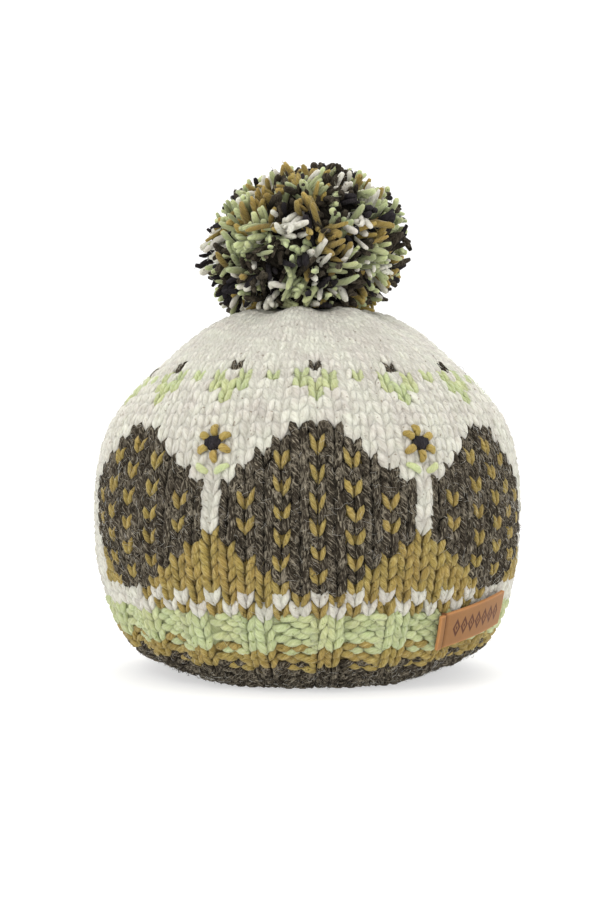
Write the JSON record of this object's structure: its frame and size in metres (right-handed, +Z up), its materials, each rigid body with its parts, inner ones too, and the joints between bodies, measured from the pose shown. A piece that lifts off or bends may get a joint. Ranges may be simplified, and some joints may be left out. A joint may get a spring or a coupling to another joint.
{
  "type": "knitted tea cosy",
  "caption": "Domed hand-knitted wool tea cosy with a spout slot, a handle slot, a ribbed hem, a pompom on the crown and a small leather label without lettering.",
  "frame": {"origin": "middle of the hem, on the surface that the cosy rests on", "axes": "+Z up through the pompom; -Y is the front; the spout slot is at -X and the handle slot at +X"},
  "size_m": [0.1887, 0.1884, 0.2273],
  "materials": {
    "knitted_wool": "chunky heathered wool, stranded knitting in cream, charcoal, mustard and light green",
    "pompom_wool": "cut ends of plied wool in green, cream, mustard, charcoal and navy",
    "label_leather": "smooth tan leather, matt, with an ornament of small tooled lozenges and no lettering"
  },
  "bodies": {
    "root": {"knitted_cosy": "knitted_wool", "pompom": "pompom_wool", "leather_label": "label_leather"}
  },
  "joints": []
}
